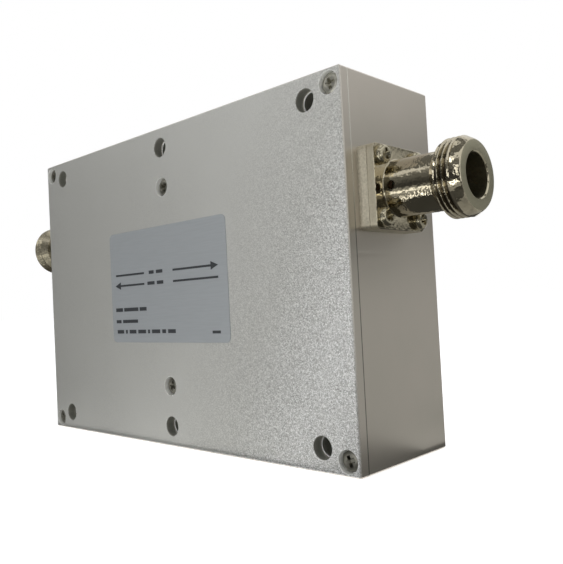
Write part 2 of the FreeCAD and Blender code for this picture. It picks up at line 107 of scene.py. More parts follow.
def mixed_colour(tree, share, first, second):
    """The same for colours, each a link or an sRGB code."""
    first, second = (linear(colour) if isinstance(colour, str) else colour
                     for colour in (first, second))
    return add(tree, "ShaderNodeMix", {"Factor_Float": share, "A_Color": first,
                                       "B_Color": second}, data_type="RGBA")


def noise(tree, place, size, detail=2.0, roughness=0.5):
    """Noise with patches of about a size in millimetres."""
    return add(tree, "ShaderNodeTexNoise", {"Vector": place, "Scale": 1 / (size * MM),
                                            "Detail": detail, "Roughness": roughness})


def drawn_noise(tree, place, sizes, detail=2.0):
    """Noise with patches drawn out to a size in millimetres along each axis."""
    scales = tuple(1 / (size * MM) for size in sizes)
    drawn = add(tree, "ShaderNodeMapping", {"Vector": place, "Scale": scales})
    return add(tree, "ShaderNodeTexNoise", {"Vector": drawn, "Scale": 1.0, "Detail": detail})


def bump(tree, height, strength, depth, normal=None):
    """The normal of a surface with a relief so many millimetres deep."""
    inputs = {"Strength": strength, "Distance": depth * MM, "Height": height}
    if normal is not None:
        inputs["Normal"] = normal
    return add(tree, "ShaderNodeBump", inputs)


def new_material(name):
    """An empty material, its tree and the place on the object in metres."""
    material = bpy.data.materials.new(name)
    material.use_nodes = True
    tree = material.node_tree
    tree.nodes.clear()
    return material, tree, add(tree, "ShaderNodeTexCoord", out="Object")


def finish_material(tree, values):
    """Ends a material with its shader."""
    shader = add(tree, "ShaderNodeBsdfPrincipled", values)
    add(tree, "ShaderNodeOutputMaterial", {"Surface": shader})


def dress(node_name, material):
    """Gives a CAD node its material."""
    data = nodes[node_name].data
    data.materials.clear()
    data.materials.append(material)


# Housing: a block of aluminium alloy, milled from the cover's side, drilled through for six
# mounting bolts and bored at both ends. Its outside is fine-milled and passivated, so that it
# is smooth and satin, and its drilled bores are greyer and duller.

EDGE_BREAK = 0.2 * MM


def bore_mask(tree, place, low, high):
    """1 on walls inside the outline of a plate or block, 0 on its outer faces."""
    across, depth, up = (coordinate(tree, place, axis) for axis in "XYZ")
    margin = 0.6 * MM
    inside = None
    for value, nearest, furthest in ((across, low.x, high.x), (depth, low.y, high.y),
                                     (up, low.z, high.z)):
        middle, half = (nearest + furthest) / 2, (furthest - nearest) / 2
        offset = maths(tree, "SUBTRACT", value, middle)
        distance = maths(tree, "ABSOLUTE", offset)
        share = ranged(tree, distance, half - margin, half, 1.0, 0.0)
        inside = share if inside is None else maths(tree, "MULTIPLY", inside, share)
    return inside


def broken_edge(tree):
    """The normal with each sharp edge rounded a little, as after deburring."""
    return add(tree, "ShaderNodeBevel", {"Radius": EDGE_BREAK}, samples=6)


def edge_mask(tree, rounded):
    """1 on the rounding of an edge, where it turns the normal, 0 on the faces either side."""
    flat = add(tree, "ShaderNodeNewGeometry", out="True Normal")
    alike = add(tree, "ShaderNodeVectorMath", {"Vector": rounded, "Vector_001": flat},
                out="Value", operation="DOT_PRODUCT")
    return ranged(tree, alike, 0.82, 0.96, 1.0, 0.0)


def joint_line(tree, place):
    """1 along the joint of housing and cover, 0 away from it."""
    depth = coordinate(tree, place, "Y")
    offset = maths(tree, "SUBTRACT", depth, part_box("housing")[0].y)
    distance = maths(tree, "ABSOLUTE", offset)
    return ranged(tree, distance, 0.05 * MM, 0.2 * MM, 0.8, 0.0)


def joint_gap_and_painted_highlight(tree, place):
    """The joint is a dark gap low down, graded up to a painted highlight high up."""
    up = coordinate(tree, place, "Z")
    share = ranged(tree, up, 48 * MM, 62 * MM)
    return mixed_colour(tree, share, "3a3a34", "f0eee6")


def milled_colour(tree, cloud):
    """Light grey, slightly warm and faintly clouded by the coat."""
    return mixed_colour(tree, cloud, "cbc7bd", "d9d1c9")


def passivated_aluminium():
    """Fine-milled aluminium under a thin conversion coat: smooth, satin and slightly warm."""
    material, tree, place = new_material("passivated_milled_aluminium")
    cloud = noise(tree, place, 14, detail=3.0)
    milling = drawn_noise(tree, place, (0.5, 9, 0.5))
    low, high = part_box("housing")
    # The bores are open towards the cover, so the outline is taken further out on that side
    past_cover = Vector((low.x, low.y - 5 * MM, low.z))
    joined = mixed_colour(tree, joint_line(tree, place), milled_colour(tree, cloud),
                          joint_gap_and_painted_highlight(tree, place))
    bore = bore_mask(tree, place, past_cover, high)
    bored = mixed_colour(tree, bore, joined, "a4a49a")
    # Painted highlight: the step from the cover's wider holes to the housing's narrower ones is
    # painted white, as a lit ring
    step = maths(tree, "MULTIPLY", bore, joint_line(tree, place))
    colour = mixed_colour(tree, step, bored, "ffffff")
    bare = ranged(tree, bore, first=1.0, last=0.4)
    relief = bump(tree, milling, 0.25, 0.01, broken_edge(tree))
    roughness = ranged(tree, cloud, first=0.34, last=0.44)
    finish_material(tree, {"Base Color": colour, "Metallic": bare, "Roughness": roughness,
                           "Normal": relief})
    return material


dress("housing", passivated_aluminium())

# Front cover: an aluminium plate screwed over the pockets, drilled for the mounting bolts and
# counterbored for its screws. Its face was blasted with glass beads, which leaves a grey grain
# that sparkles a little.

COVER_SCREW_INSET, MIDDLE_SCREW_INSET, COUNTERBORE = 3.1, 15.5, 4.9


def counterbore_mask(tree, place):
    """1 in the six counterbores, 0 elsewhere. They lie alike to both sides and up and down."""
    low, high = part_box("front_cover")
    middle = (low + high) / 2
    offset = add(tree, "ShaderNodeVectorMath", {"Vector": place, "Vector_001": middle},
                 operation="SUBTRACT")
    folded = add(tree, "ShaderNodeVectorMath", {"Vector": offset}, operation="ABSOLUTE")
    flat = add(tree, "ShaderNodeVectorMath", {"Vector": folded, "Vector_001": (1.0, 0.0, 1.0)},
               operation="MULTIPLY")
    nearest = None
    for across, up in ((high.x - COVER_SCREW_INSET * MM, middle.z - COVER_SCREW_INSET * MM),
                       (0.0, middle.z - MIDDLE_SCREW_INSET * MM)):
        distance = add(tree, "ShaderNodeVectorMath",
                       {"Vector": flat, "Vector_001": (across, 0.0, up)}, out="Value",
                       operation="DISTANCE")
        nearest = distance if nearest is None else maths(tree, "MINIMUM", nearest, distance)
    rim = COUNTERBORE / 2 * MM
    return ranged(tree, nearest, rim + 0.05 * MM, rim + 0.1 * MM, 1.0, 0.0)


def grain_with_painted_light(tree, grit, cloud, across, up):
    """Bright and dark grains, with painted light over them: faint at the upper left, heaviest
    and brightest at the lower right, where the light is painted strongest."""
    # Painted light: the grain grows heavier and brighter towards the lower right corner
    towards_lit_corner = maths(tree, "MULTIPLY_ADD", up, -0.5, across)
    fade = ranged(tree, towards_lit_corner, -5 * MM, 33 * MM, 0.75, 0.0)
    patchy = maths(tree, "MULTIPLY_ADD", cloud, 0.3, fade)
    grained = mixed_colour(tree, grit, "80807d", "f0f0ed")
    faint = mixed_colour(tree, patchy, grained, "d9d9d6")
    painted_light_share = ranged(tree, towards_lit_corner, 20 * MM, 42 * MM)
    bright = mixed_colour(tree, grit, "a0a09d", "ffffff")
    return mixed_colour(tree, painted_light_share, faint, bright)


def bead_blasted_aluminium():
    """The face is blasted: matt grey, with grain. The real grit is near 0.1 mm, drawn at 0.16 mm
    so that it shows. The sides are milled like the housing, and the edges are worn smooth and
    lightened, partly as a painted highlight. The counterbore walls are a painted highlight."""
    material, tree, place = new_material("bead_blasted_aluminium")
    grains = add(tree, "ShaderNodeTexVoronoi", {"Vector": place, "Scale": 1 / (0.16 * MM)},
                 out="Color")
    grit = add(tree, "ShaderNodeSeparateColor", {"Color": grains}, out="Red")
    cloud = noise(tree, place, 22)
    across, depth, up = (coordinate(tree, place, axis) for axis in "XYZ")
    low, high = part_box("front_cover")
    front = ranged(tree, depth, low.y + 0.1 * MM, low.y + 0.35 * MM, 1.0, 0.0)
    sunk = counterbore_mask(tree, place)
    blasted = maths(tree, "MAXIMUM", front, sunk)
    sided = mixed_colour(tree, blasted, milled_colour(tree, cloud),
                         grain_with_painted_light(tree, grit, cloud, across, up))
    bore = maths(tree, "SUBTRACT", bore_mask(tree, place, low, high), sunk, use_clamp=True)
    rounded = broken_edge(tree)
    edge = edge_mask(tree, rounded)
    # Worn edges, lightened as well as a painted highlight along the rims
    edge_wear_and_highlight = mixed_colour(tree, edge, sided, "e6e5df")
    joined = mixed_colour(tree, joint_line(tree, place), edge_wear_and_highlight, joint_gap_and_painted_highlight(tree, place))
    bored = mixed_colour(tree, bore, joined, "9a9a90")
    # Painted highlight: the counterbore walls are painted near white, as if lit
    colour = mixed_colour(tree, sunk, bored, "f0f0ec")
    hollow = maths(tree, "MAXIMUM", bore, sunk)
    bare = ranged(tree, hollow, first=1.0, last=0.3)
    relief = bump(tree, grit, blasted, 0.012, rounded)
    rough = ranged(tree, grit, first=0.5, last=0.66)
    faced = mixed_value(tree, blasted, 0.4, rough)
    roughness = mixed_value(tree, edge, faced, 0.16)
    finish_material(tree, {"Base Color": colour, "Metallic": bare, "Roughness": roughness,
                           "Normal": relief})
    return material


dress("front_cover", bead_blasted_aluminium())

# Rating label: satin aluminium foil with a clear lacquer, cut with rounded corners and stuck on
# the cover. The print is a film of dark ink: two arrows for the signal's way and plain bars.


def satin_foil():
    """Brushed and lacquered foil: even, cool grey, a little glossier than the plate."""
    material, tree, place = new_material("lacquered_satin_foil")
    brushing = drawn_noise(tree, place, (6, 1, 0.3))
    colour = mixed_colour(tree, brushing, "a1a5a8", "acb0b3")
    relief = bump(tree, brushing, 0.15, 0.01)
    finish_material(tree, {"Base Color": colour, "Metallic": 0.5, "Roughness": 0.5,
                           "Normal": relief})
    return material


def label_ink():
    """Screen-printed ink: flat dark grey, dull, with slight pinholes."""
    material, tree, place = new_material("screen_printed_ink")
    pinholes = noise(tree, place, 0.25)
    colour = mixed_colour(tree, pinholes, "26292c", "36393d")
    finish_material(tree, {"Base Color": colour, "Roughness": 0.5})
    return material


def new_object(name, data):
    """An object of the data, in the scene."""
    thing = bpy.data.objects.new(name, data)
    bpy.context.scene.collection.objects.link(thing)
    return thing


def place_piece(name, data, material, slot, *replaced):
    """Makes an object of a mesh, gives the mesh the material if it has none, and hides the
    CAD nodes that it replaces.
    """
    piece = new_object(name, data)
    if not data.materials:
        data.materials.append(material)
    if replaced:
        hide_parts(*replaced)
    return piece


INK_DEPTH = 0.02 * MM


def print_mesh(outlines):
    """Flat films of ink from outlines given on the label's face, in millimetres."""
    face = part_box("rating_label")[0].y
    points, faces = [], []
    for outline in outlines:
        start, count = len(points), len(outline)
        for depth in (face, face - INK_DEPTH):
            points += [(across * MM, depth, up * MM) for across, up in outline]
        back = list(range(start, start + count))
        front = [index + count for index in back]
        faces += [back[::-1], front]
        faces += [(back[at - 1], back[at], front[at], front[at - 1]) for at in range(count)]
    data = bpy.data.meshes.new("label_print")
    data.from_pydata(points, [], faces)
    return data


def bar(left, right, bottom, top):
    """The outline of a plain bar."""
    return [(left, bottom), (right, bottom), (right, top), (left, top)]


def arrow(tail, tip, height):
    """A thin arrow along the label with a gap in its stroke, tip at either end."""
    stroke, head_length, head_half, gap = 0.27, 2.7, 1.05, (-9.2, 3.3)
    towards = 1 if tip > tail else -1
    neck = tip - towards * head_length
    left, right = sorted((tail, neck))
    head = [(neck, height - head_half), (tip, height), (neck, height + head_half)]
    return [bar(left, gap[0], height - stroke, height + stroke),
            bar(gap[1], right, height - stroke, height + stroke),
            head if towards > 0 else head[::-1]]


def row_of_bars(left, bottom, top, lengths, gap):
    """Plain bars in a row, where a maker would print a line of words."""
    bars = []
    for length in lengths:
        bars.append(bar(left, left + length, bottom, top))
        left += length + gap
    return bars


# Millimetres to the right of the unit's middle and up from its foot
label_outlines = [*arrow(-22.7, 20.9, 45.4), *arrow(20.8, -23.1, 42.5),
                  *row_of_bars(-7.0, 45.0, 45.9, (2.2, 2.8), 1.0),
                  *row_of_bars(-7.8, 42.1, 43.0, (3.2, 2.8), 1.0),
                  *row_of_bars(-23.3, 35.3, 36.3, (3.4, 6.8, 3.2), 0.6),
                  *row_of_bars(-23.3, 32.1, 33.0, (2.4, 7.2), 0.8),
                  *row_of_bars(-23.0, 29.2, 30.2, (3.2, 0.9, 3.2, 3.6, 0.9, 3.6, 1.6, 3.2), 0.9),
                  bar(17.8, 20.8, 29.0, 29.7)]
dress("rating_label", satin_foil())
label_print = place_piece("label_print", print_mesh(label_outlines), label_ink(), "label_foil")
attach(label_print, "root")

# Cover screws: six pan heads of zinc-plated steel with a cross recess, sunk in the cover's
# counterbores. The heads are cold-formed, and the recess is punched.

COVER_HEAD, COVER_HEAD_HEIGHT, COVER_RECESS, COVER_RECESS_DEPTH = 4.4, 1.2, 2.6, 0.95
TURN = 2 * math.pi


def plated_screw_steel(name, dark, light, smoothest, roughest):
    """Zinc-plated steel: warm grey and satin, with faint marks of the forming die."""
    material, tree, place = new_material(name)
    marks = noise(tree, place, 0.5, detail=4.0)
    colour = mixed_colour(tree, marks, dark, light)
    roughness = ranged(tree, marks, first=smoothest, last=roughest)
    relief = bump(tree, marks, 0.3, 0.02)
    finish_material(tree, {"Base Color": colour, "Metallic": 1.0, "Roughness": roughness,
                           "Normal": relief})
    return material


def skin(name, rings, looped):
    """A mesh over rings of as many points each. A looped row of rings has no ends to cap."""
    count = len(rings[0])
    points = [point for ring in rings for point in ring]
    pairs = [(at, at + 1) for at in range(len(rings) - 1)]
    if looped:
        pairs.append((len(rings) - 1, 0))
    faces = []
    for one, other in pairs:
        for at in range(count):
            after = (at + 1) % count
            faces.append((one * count + at, one * count + after,
                          other * count + after, other * count + at))
    if not looped:
        last = (len(rings) - 1) * count
        faces += [range(count)[::-1], range(last, last + count)]
    data = bpy.data.meshes.new(name)
    data.from_pydata(points, [], faces)
    return data


def on_circle(along, radius, angle):
    """A point some way along X and off it by a radius, at an angle."""
    return Vector((along, radius * math.cos(angle), radius * math.sin(angle)))


def smooth_by_angle(data, degrees):
    """Shades a mesh smooth, apart from edges that are sharper than the angle."""
    data.shade_smooth()
    data.set_sharp_from_angle(angle=math.radians(degrees))


def cut_away(data, cutters):
    """The mesh less each cutter in turn."""
    body = new_object("body", data)
    knives = []
    for cutter in cutters:
        knife = new_object("knife", cutter)
        knives.append(knife)
        step = body.modifiers.new("cut", "BOOLEAN")
        step.object, step.operation, step.solver = knife, "DIFFERENCE", "EXACT"
    graph = bpy.context.evaluated_depsgraph_get()
    result = bpy.data.meshes.new_from_object(body.evaluated_get(graph))
    for thing in (body, *knives):
        bpy.data.objects.remove(thing)
    return result


def pan_head(name, diameter, height, recess_span, recess_depth):
    """A head with its axis along X, outward: short wall, round shoulder, low dome, recess."""
    radius, wall, steps = diameter / 2 * MM, 0.45 * height * MM, 48
    # Half of the section: how far out along the axis, and the radius there
    profile = [(0, radius * 0.98), (0.06 * MM, radius), (wall, radius)]
    shoulder = 7
    for step in range(1, shoulder + 1):
        bend = step / shoulder * TURN / 4
        profile.append((wall + (height * MM - wall) * math.sin(bend),
                        radius * (0.58 + 0.42 * math.cos(bend))))
    rings = [[on_circle(along, reach, TURN * at / steps) for at in range(steps)]
             for along, reach in profile]
    head = skin(name, rings, looped=False)
    cutters = []
    # Two wedges make the cross: narrow at the bottom of the recess, wide above the head
    wing = 0.16 * recess_span * MM
    top, bottom = (height + 0.3) * MM, (height - recess_depth) * MM
    for turned in (0, 1):
        ring_pair = []
        for along, reach, half in ((bottom, recess_span * 0.22 * MM, wing * 0.7),
                                   (top, recess_span * 0.56 * MM, wing * 1.15)):
            corners = [(reach, half), (-reach, half), (-reach, -half), (reach, -half)]
            ring_pair.append([Vector((along, one, other)) if turned
                              else Vector((along, -other, one)) for one, other in corners])
        cutters.append(skin("recess", ring_pair, looped=False))
    finished = cut_away(head, cutters)
    finished.name = name
    smooth_by_angle(finished, 40)
    return finished


# Lit and shaded copies of one steel: painted light and painted shade
shaded_screw_steel = plated_screw_steel("zinc_plated_steel_painted_shaded", "86847b", "9c9a91", 0.26, 0.38)
lit_screw_steel = plated_screw_steel("zinc_plated_steel_painted_lit", "aeaca3", "c6c4ba", 0.26, 0.38)
cover_head = pan_head("cover_screw_head", COVER_HEAD, COVER_HEAD_HEIGHT, COVER_RECESS,
                      COVER_RECESS_DEPTH)
counterbore_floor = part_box("cover_screws")[1].y
top = cad_high.z
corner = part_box("housing")[1].x - COVER_SCREW_INSET * MM
cover_places = [(side * corner, level) for side in (-1, 1)
                for level in (COVER_SCREW_INSET * MM, top - COVER_SCREW_INSET * MM)]
cover_places += [(0, MIDDLE_SCREW_INSET * MM), (0, top - MIDDLE_SCREW_INSET * MM)]
FACING_COVER = Matrix.Rotation(-TURN / 4, 4, "Z")
# How far each cross is turned, in degrees, as the screws happened to end up
COVER_TURNS = (12, 35, 20, 8, 70, 28)
for index, ((across, up), degrees) in enumerate(zip(cover_places, COVER_TURNS), start=1):
    # Each head is a mesh of its own, because the upper right one takes a lighter copy of the steel
    # as painted light, and the others a darker copy as painted shade
    steel = lit_screw_steel if across > 0 and up > top / 2 else shaded_screw_steel
    screw = place_piece(f"cover_screw_{index}", cover_head.copy(), steel, "screw_steel",
                        "cover_screws")
    screw.matrix_world = (Matrix.Translation((across, counterbore_floor, up)) @ FACING_COVER
                          @ Matrix.Rotation(math.radians(degrees), 4, "X"))
    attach(screw, "root")

# Connector spacers: a square plate between the end wall and each flange, sheared from brass and
# nickel-plated matt. Its edges are speckled where the plating took on the sheared metal.


def matt_nickel():
    """Matt nickel on sheared brass: warm grey, with a coarse speckle."""
    material, tree, place = new_material("matt_nickel_on_brass")
    speckle = noise(tree, place, 0.45, detail=3.0, roughness=0.7)
    spread = ranged(tree, speckle, 0.3, 0.7)
    colour = mixed_colour(tree, spread, "b0aa9a", "d2ccbb")
    relief = bump(tree, speckle, 0.5, 0.03)
    finish_material(tree, {"Base Color": colour, "Metallic": 1.0, "Roughness": 0.5,
                           "Normal": relief})
    return material


dress("connector_spacers", matt_nickel())

# Connector shells: flange and barrel turned in one piece from brass, with the flange milled
# square, the coupling thread single-pointed and the whole nickel-plated bright.

spacer_low, spacer_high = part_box("connector_spacers")
SHELL_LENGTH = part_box("connector_shells")[1].x - spacer_high.x
FLANGE_SIDE, FLANGE_CORNER, FLANGE_THICKNESS, FLANGE_EDGE = 17.5, 1.2, 1.8, 0.1
BARREL_DIAMETER, BARREL_ROOT, WALL_BORE = 12.0, 0.25, 8.1
THREAD_DIAMETER, THREAD_PITCH, THREAD_LENGTH, SHOULDER = 15.8, 25.4 / 24, 3.5, 1.8
THREAD_DEPTH, THREAD_FADE, THREAD_RUN_OUT = 0.6134 * THREAD_PITCH, 0.4, 0.9
LEAD_LENGTH, LEAD_DIAMETER, LIP_CHAMFER = 1.7, 14.1, 0.3
MOUTH_DIAMETER, MOUTH_DEPTH, MOUTH_CHAMFER = 8.9, 9.5, 0.3
VENT_DIAMETER, VENT_OFFSET = 1.8, 1.9
THREAD_MIDDLE = SHELL_LENGTH - (LEAD_LENGTH + THREAD_LENGTH / 2) * MM
# One pitch of the thread as shares of the pitch and of the depth: crest, flank, root, flank
THREAD_FORM = ((0.0, 0.0), (0.125, 0.0), (0.479, 0.96), (0.5625, 1.0), (0.646, 0.96))


def mouth_mask(tree, radius):
    """1 on the wall of the mouth, 0 outside it."""
    wall_radius = MOUTH_DIAMETER / 2 * MM
    return ranged(tree, radius, wall_radius + 0.02 * MM, wall_radius + 0.1 * MM, 1.0, 0.0)


def thread_root_painted_shade(tree, reach, radius):
    """Up to 0.75 in the roots of the thread, where shade is painted in, else 0."""
    crest = THREAD_DIAMETER / 2
    deep = ranged(tree, radius, (crest - THREAD_DEPTH) * MM, (crest - THREAD_DEPTH / 3) * MM,
                  0.75, 0.0)
    threaded = maths(tree, "COMPARE", reach, THREAD_MIDDLE, THREAD_LENGTH / 2 * MM)
    return maths(tree, "MULTIPLY", deep, threaded)


def nickel_plate(name, dark, light, smoothest, roughest):
    """Bright nickel on turned brass: a mirror with a yellow cast, broken by fine tool rings and
    chatter. The milled edges of the flange and the faced rim of the mouth are duller. The thread
    roots and the wall of the mouth are darkened as painted shade."""
    material, tree, place = new_material(name)
    tooling = drawn_noise(tree, place, (0.12, 8, 8))
    cloud = noise(tree, place, 2.2, detail=3.0)
    speckle = noise(tree, place, 0.4, detail=3.0, roughness=0.7)
    along = coordinate(tree, place, "X")
    reach = maths(tree, "ABSOLUTE", along)
    face = FLANGE_THICKNESS * MM
    edge = ranged(tree, reach, face - 0.1 * MM, face - 0.02 * MM, 1.0, 0.0)
    smooth = ranged(tree, cloud, first=smoothest, last=roughest)
    roughness = mixed_value(tree, edge, smooth, 0.45)
    plated = mixed_colour(tree, cloud, dark, light)
    dull = mixed_colour(tree, speckle, "a69f8d", "cfc8b5")
    colour = mixed_colour(tree, edge, plated, dull)
    height = mixed_value(tree, edge, tooling, speckle)
    chatter = noise(tree, place, 0.8, detail=1.5, roughness=0.6)
    waves = bump(tree, chatter, 1.0, 0.06)
    relief = bump(tree, height, 0.25, 0.012, waves)
    rim = ranged(tree, reach, SHELL_LENGTH - 0.06 * MM, SHELL_LENGTH - 0.02 * MM)
    faced = mixed_colour(tree, rim, colour, "a8a48f")
    lapped = mixed_value(tree, rim, roughness, 0.5)
    flat = add(tree, "ShaderNodeVectorMath", {"Vector": place, "Vector_001": (0.0, 1.0, 1.0)},
               operation="MULTIPLY")
    radius = add(tree, "ShaderNodeVectorMath", {"Vector": flat}, out="Value",
                 operation="LENGTH")
    # Painted shade: the roots of the thread are darkened
    threaded = mixed_colour(tree, thread_root_painted_shade(tree, reach, radius), faced, "4a4436")
    # Painted shade: the wall of the mouth is painted darker, as shade inside the bore
    mouth = mouth_mask(tree, radius)
    bored = mixed_colour(tree, mouth, threaded, "8c8672")
    bore_roughness = mixed_value(tree, mouth, lapped, 0.4)
    finish_material(tree, {"Base Color": bored, "Metallic": 1.0, "Roughness": bore_roughness,
                           "Normal": relief})
    return material


def square_reach(angle, half, corner):
    """Distance from the centre of a rounded square to its outline at an angle."""
    near = abs((angle + TURN / 8) % (TURN / 4) - TURN / 8)
    flat = half - corner
    if math.tan(near) <= flat / half:
        return half / math.cos(near)
    middle = flat * (math.cos(near) + math.sin(near))
    return middle + math.sqrt(middle ** 2 - 2 * flat ** 2 + corner ** 2)


def flange_angles(plain_steps, corner_steps):
    """Even steps, with more of them round the flange's corners."""
    angles = {round(TURN * at / plain_steps, 6) for at in range(plain_steps)}
    flat = FLANGE_SIDE / 2 - FLANGE_CORNER
    for quarter in range(4):
        for at in range(corner_steps + 1):
            bend = at / corner_steps * TURN / 4
            angle = math.atan2(flat + FLANGE_CORNER * math.sin(bend),
                               flat + FLANGE_CORNER * math.cos(bend))
            angles.add(round(angle + quarter * TURN / 4, 6))
    return sorted(angles)


def shell_mesh():
    """The shell with its axis along X, outward, from the flange's back."""
    angles = flange_angles(plain_steps=96, corner_steps=6)
    face = FLANGE_THICKNESS
    mouth = SHELL_LENGTH / MM
    thread_front = mouth - LEAD_LENGTH
    thread_back = thread_front - THREAD_LENGTH
    barrel, crest = BARREL_DIAMETER / 2, THREAD_DIAMETER / 2
    rings = []

    def turned(along, radius):
        """A round of the section."""
        rings.append([on_circle(along * MM, radius * MM, angle) for angle in angles])

    def square(along, inset):
        """The outline of the flange, drawn in by the inset."""
        rings.append([on_circle(along * MM, MM * square_reach(
            angle, FLANGE_SIDE / 2 - inset, FLANGE_CORNER - inset), angle) for angle in angles])

    # The flange, the rounded root of the barrel, the barrel, and the cone up to the thread
    square(0, FLANGE_EDGE)
    square(FLANGE_EDGE, 0)
    square(face - FLANGE_EDGE, 0)
    square(face, FLANGE_EDGE)
    root_steps = 4
    for step in range(root_steps + 1):
        bend = step / root_steps * TURN / 4
        turned(face + BARREL_ROOT * (1 - math.cos(bend)),
               barrel + BARREL_ROOT * (1 - math.sin(bend)))
    turned(thread_back - SHOULDER, barrel)
    thread_start = thread_back - THREAD_RUN_OUT
    rise = (crest - barrel) / SHOULDER
    turned(thread_start, crest - THREAD_RUN_OUT * rise)
    # The thread, which runs out into the cone behind and into the lead in front
    turns = math.ceil((thread_front - thread_start) / THREAD_PITCH) + 1
    for turn in range(turns):
        for share, depth in THREAD_FORM:
            ring = []
            for angle in angles:
                along = thread_start + THREAD_PITCH * (turn - 1 + share + angle / TURN)
                along = min(max(along, thread_start), thread_front)
                ends = min(1, (thread_front - along) / THREAD_FADE)
                radius = min(crest - THREAD_DEPTH * depth * ends,
                             crest - (thread_back - along) * rise)
                ring.append(on_circle(along * MM, radius * MM, angle))
            rings.append(ring)
    # The lead, the lip, the mouth and the bore behind it
    turned(thread_front, crest)
    turned(mouth - LIP_CHAMFER, LEAD_DIAMETER / 2)
    turned(mouth - 0.04, LEAD_DIAMETER / 2 - LIP_CHAMFER + 0.02)
    turned(mouth, LEAD_DIAMETER / 2 - LIP_CHAMFER - 0.05)
    turned(mouth, MOUTH_DIAMETER / 2 + MOUTH_CHAMFER)
    turned(mouth - MOUTH_CHAMFER, MOUTH_DIAMETER / 2)
    turned(mouth - MOUTH_DEPTH, MOUTH_DIAMETER / 2)
    turned(mouth - MOUTH_DEPTH, WALL_BORE / 2)
    turned(0, WALL_BORE / 2)
    data = skin("connector_shell", rings, looped=True)
    # The vent is drilled from the front into the bore
    drill_steps = 24
    drill = []
    for depth in (-BARREL_DIAMETER, 0):
        drill.append([Vector(((face + VENT_OFFSET) * MM + VENT_DIAMETER / 2 * MM * math.cos(a),
                              depth * MM, VENT_DIAMETER / 2 * MM * math.sin(a)))
                      for a in (-TURN * at / drill_steps for at in range(drill_steps))])
    finished = cut_away(data, [skin("drill", drill, looped=False)])
    finished.name = "connector_shell"
    smooth_by_angle(finished, 32)
    return finished


port_middle = (spacer_low + spacer_high) / 2
FACING_LEFT = Matrix.Rotation(TURN / 2, 4, "Y")
SIDES = (("left", -1, FACING_LEFT), ("right", 1, Matrix.Identity(4)))
# The left shell is duller than the right one in the photograph
# The left copy is rougher, and its darker colour is painted shade
nickel = {"left": nickel_plate("dull_nickel_on_brass_painted_shade", "a49c88", "b2ab98", 0.2, 0.3),
          "right": nickel_plate("bright_nickel_on_brass", "b3aa94", "c2baa6", 0.03, 0.1)}
shell = {side: shell_mesh() for side in nickel}
for side, sign, facing in SIDES:
    piece = place_piece(f"connector_shell_{side}", shell[side], nickel[side],
                        "bright_nickel", "connector_shells")
    piece.matrix_world = Matrix.Translation(
        (sign * spacer_high.x, port_middle.y, port_middle.z)) @ facing
    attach(piece, "root")

# Connector screws: four pan heads with a cross recess on each flange. They are zinc-plated as the
# cover's are, but cleaner, so that they glint. Their warm tint is a painted reflection of the
# flange.

PORT_HEAD, PORT_HEAD_HEIGHT, PORT_RECESS, PORT_RECESS_DEPTH = 4.0, 1.6, 2.4, 1.1
PORT_SCREW_PITCH = 12.7
bright_steel = plated_screw_steel("bright_zinc_plated_steel", "a8a08a", "c4bda7", 0.16, 0.28)
port_head = pan_head("port_screw_head", PORT_HEAD, PORT_HEAD_HEIGHT, PORT_RECESS,
                     PORT_RECESS_DEPTH)
half_pitch = PORT_SCREW_PITCH / 2 * MM
flange_face = spacer_high.x + FLANGE_THICKNESS * MM
PORT_TURNS = (40, 8, 25, 60)
for side, sign, facing in SIDES:
    corners = [(across, up) for across in (-half_pitch, half_pitch)
               for up in (-half_pitch, half_pitch)]
    for index, ((across, up), degrees) in enumerate(zip(corners, PORT_TURNS), start=1):
        screw = place_piece(f"port_screw_{side}_{index}", port_head, bright_steel,
                            "screw_steel", "connector_screws")
        screw.matrix_world = (
            Matrix.Translation((sign * flange_face, port_middle.y + across, port_middle.z + up))
            @ facing @ Matrix.Rotation(math.radians(degrees), 4, "X"))
        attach(screw, "root")

# Insulators and contacts: a rod of fluoropolymer in each shell, and in it the turned contact of
# beryllium copper, slotted as a socket and gold-plated.

RESIN_MIDDLE = flange_face + VENT_OFFSET * MM


def fluoropolymer():
    """Skived fluoropolymer: waxy white that lets a little light in. Under the vent it is stained
    by the brown resin that holds the rod."""
    material, tree, place = new_material("white_fluoropolymer")
    wax = noise(tree, place, 1.5, detail=3.0)
    colour = mixed_colour(tree, wax, "dcd9d0", "e8e6df")
    across = coordinate(tree, place, "X")
    outward = maths(tree, "ABSOLUTE", across)
    resin = maths(tree, "COMPARE", outward, RESIN_MIDDLE, VENT_DIAMETER * MM)
    colour = mixed_colour(tree, resin, colour, "38281a")
    finish_material(tree, {"Base Color": colour, "Roughness": 0.4, "IOR": 1.35,
                           "Subsurface Weight": 0.2, "Subsurface Scale": 1 * MM})
    return material


def gold_plate():
    """Gold over nickel, darkened as painted shade for its place deep in the mouth: a muted warm
    yellow, satin, with faint turning rings.
    """
    material, tree, place = new_material("gold_plated_contact")
    tooling = drawn_noise(tree, place, (0.15, 4, 4))
    # Painted shade: the gold is painted darker than bright gold
    colour = mixed_colour(tree, tooling, "8f7d52", "9c8a5c")
    relief = bump(tree, tooling, 0.2, 0.01)
    finish_material(tree, {"Base Color": colour, "Metallic": 1.0, "Roughness": 0.45,
                           "Normal": relief})
    return material


white_rod = fluoropolymer()
dress("connector_insulators", white_rod)
dress("connector_contacts", gold_plate())

# Junction stacks: garnet discs, pole and return plates of plated steel and ceramic magnets,
# laid in each pocket either side of the copper conductor, with chips of ceramic to tune it.


def fired_ceramic(name, dark, light, grain, roughness):
    """Pressed and fired ceramic: dull, with the grain of its powder."""
    material, tree, place = new_material(name)
    powder = noise(tree, place, grain, detail=4.0)
    colour = mixed_colour(tree, powder, dark, light)
    relief = bump(tree, powder, 0.3, 0.02)
    finish_material(tree, {"Base Color": colour, "Roughness": roughness, "Normal": relief})
    return material


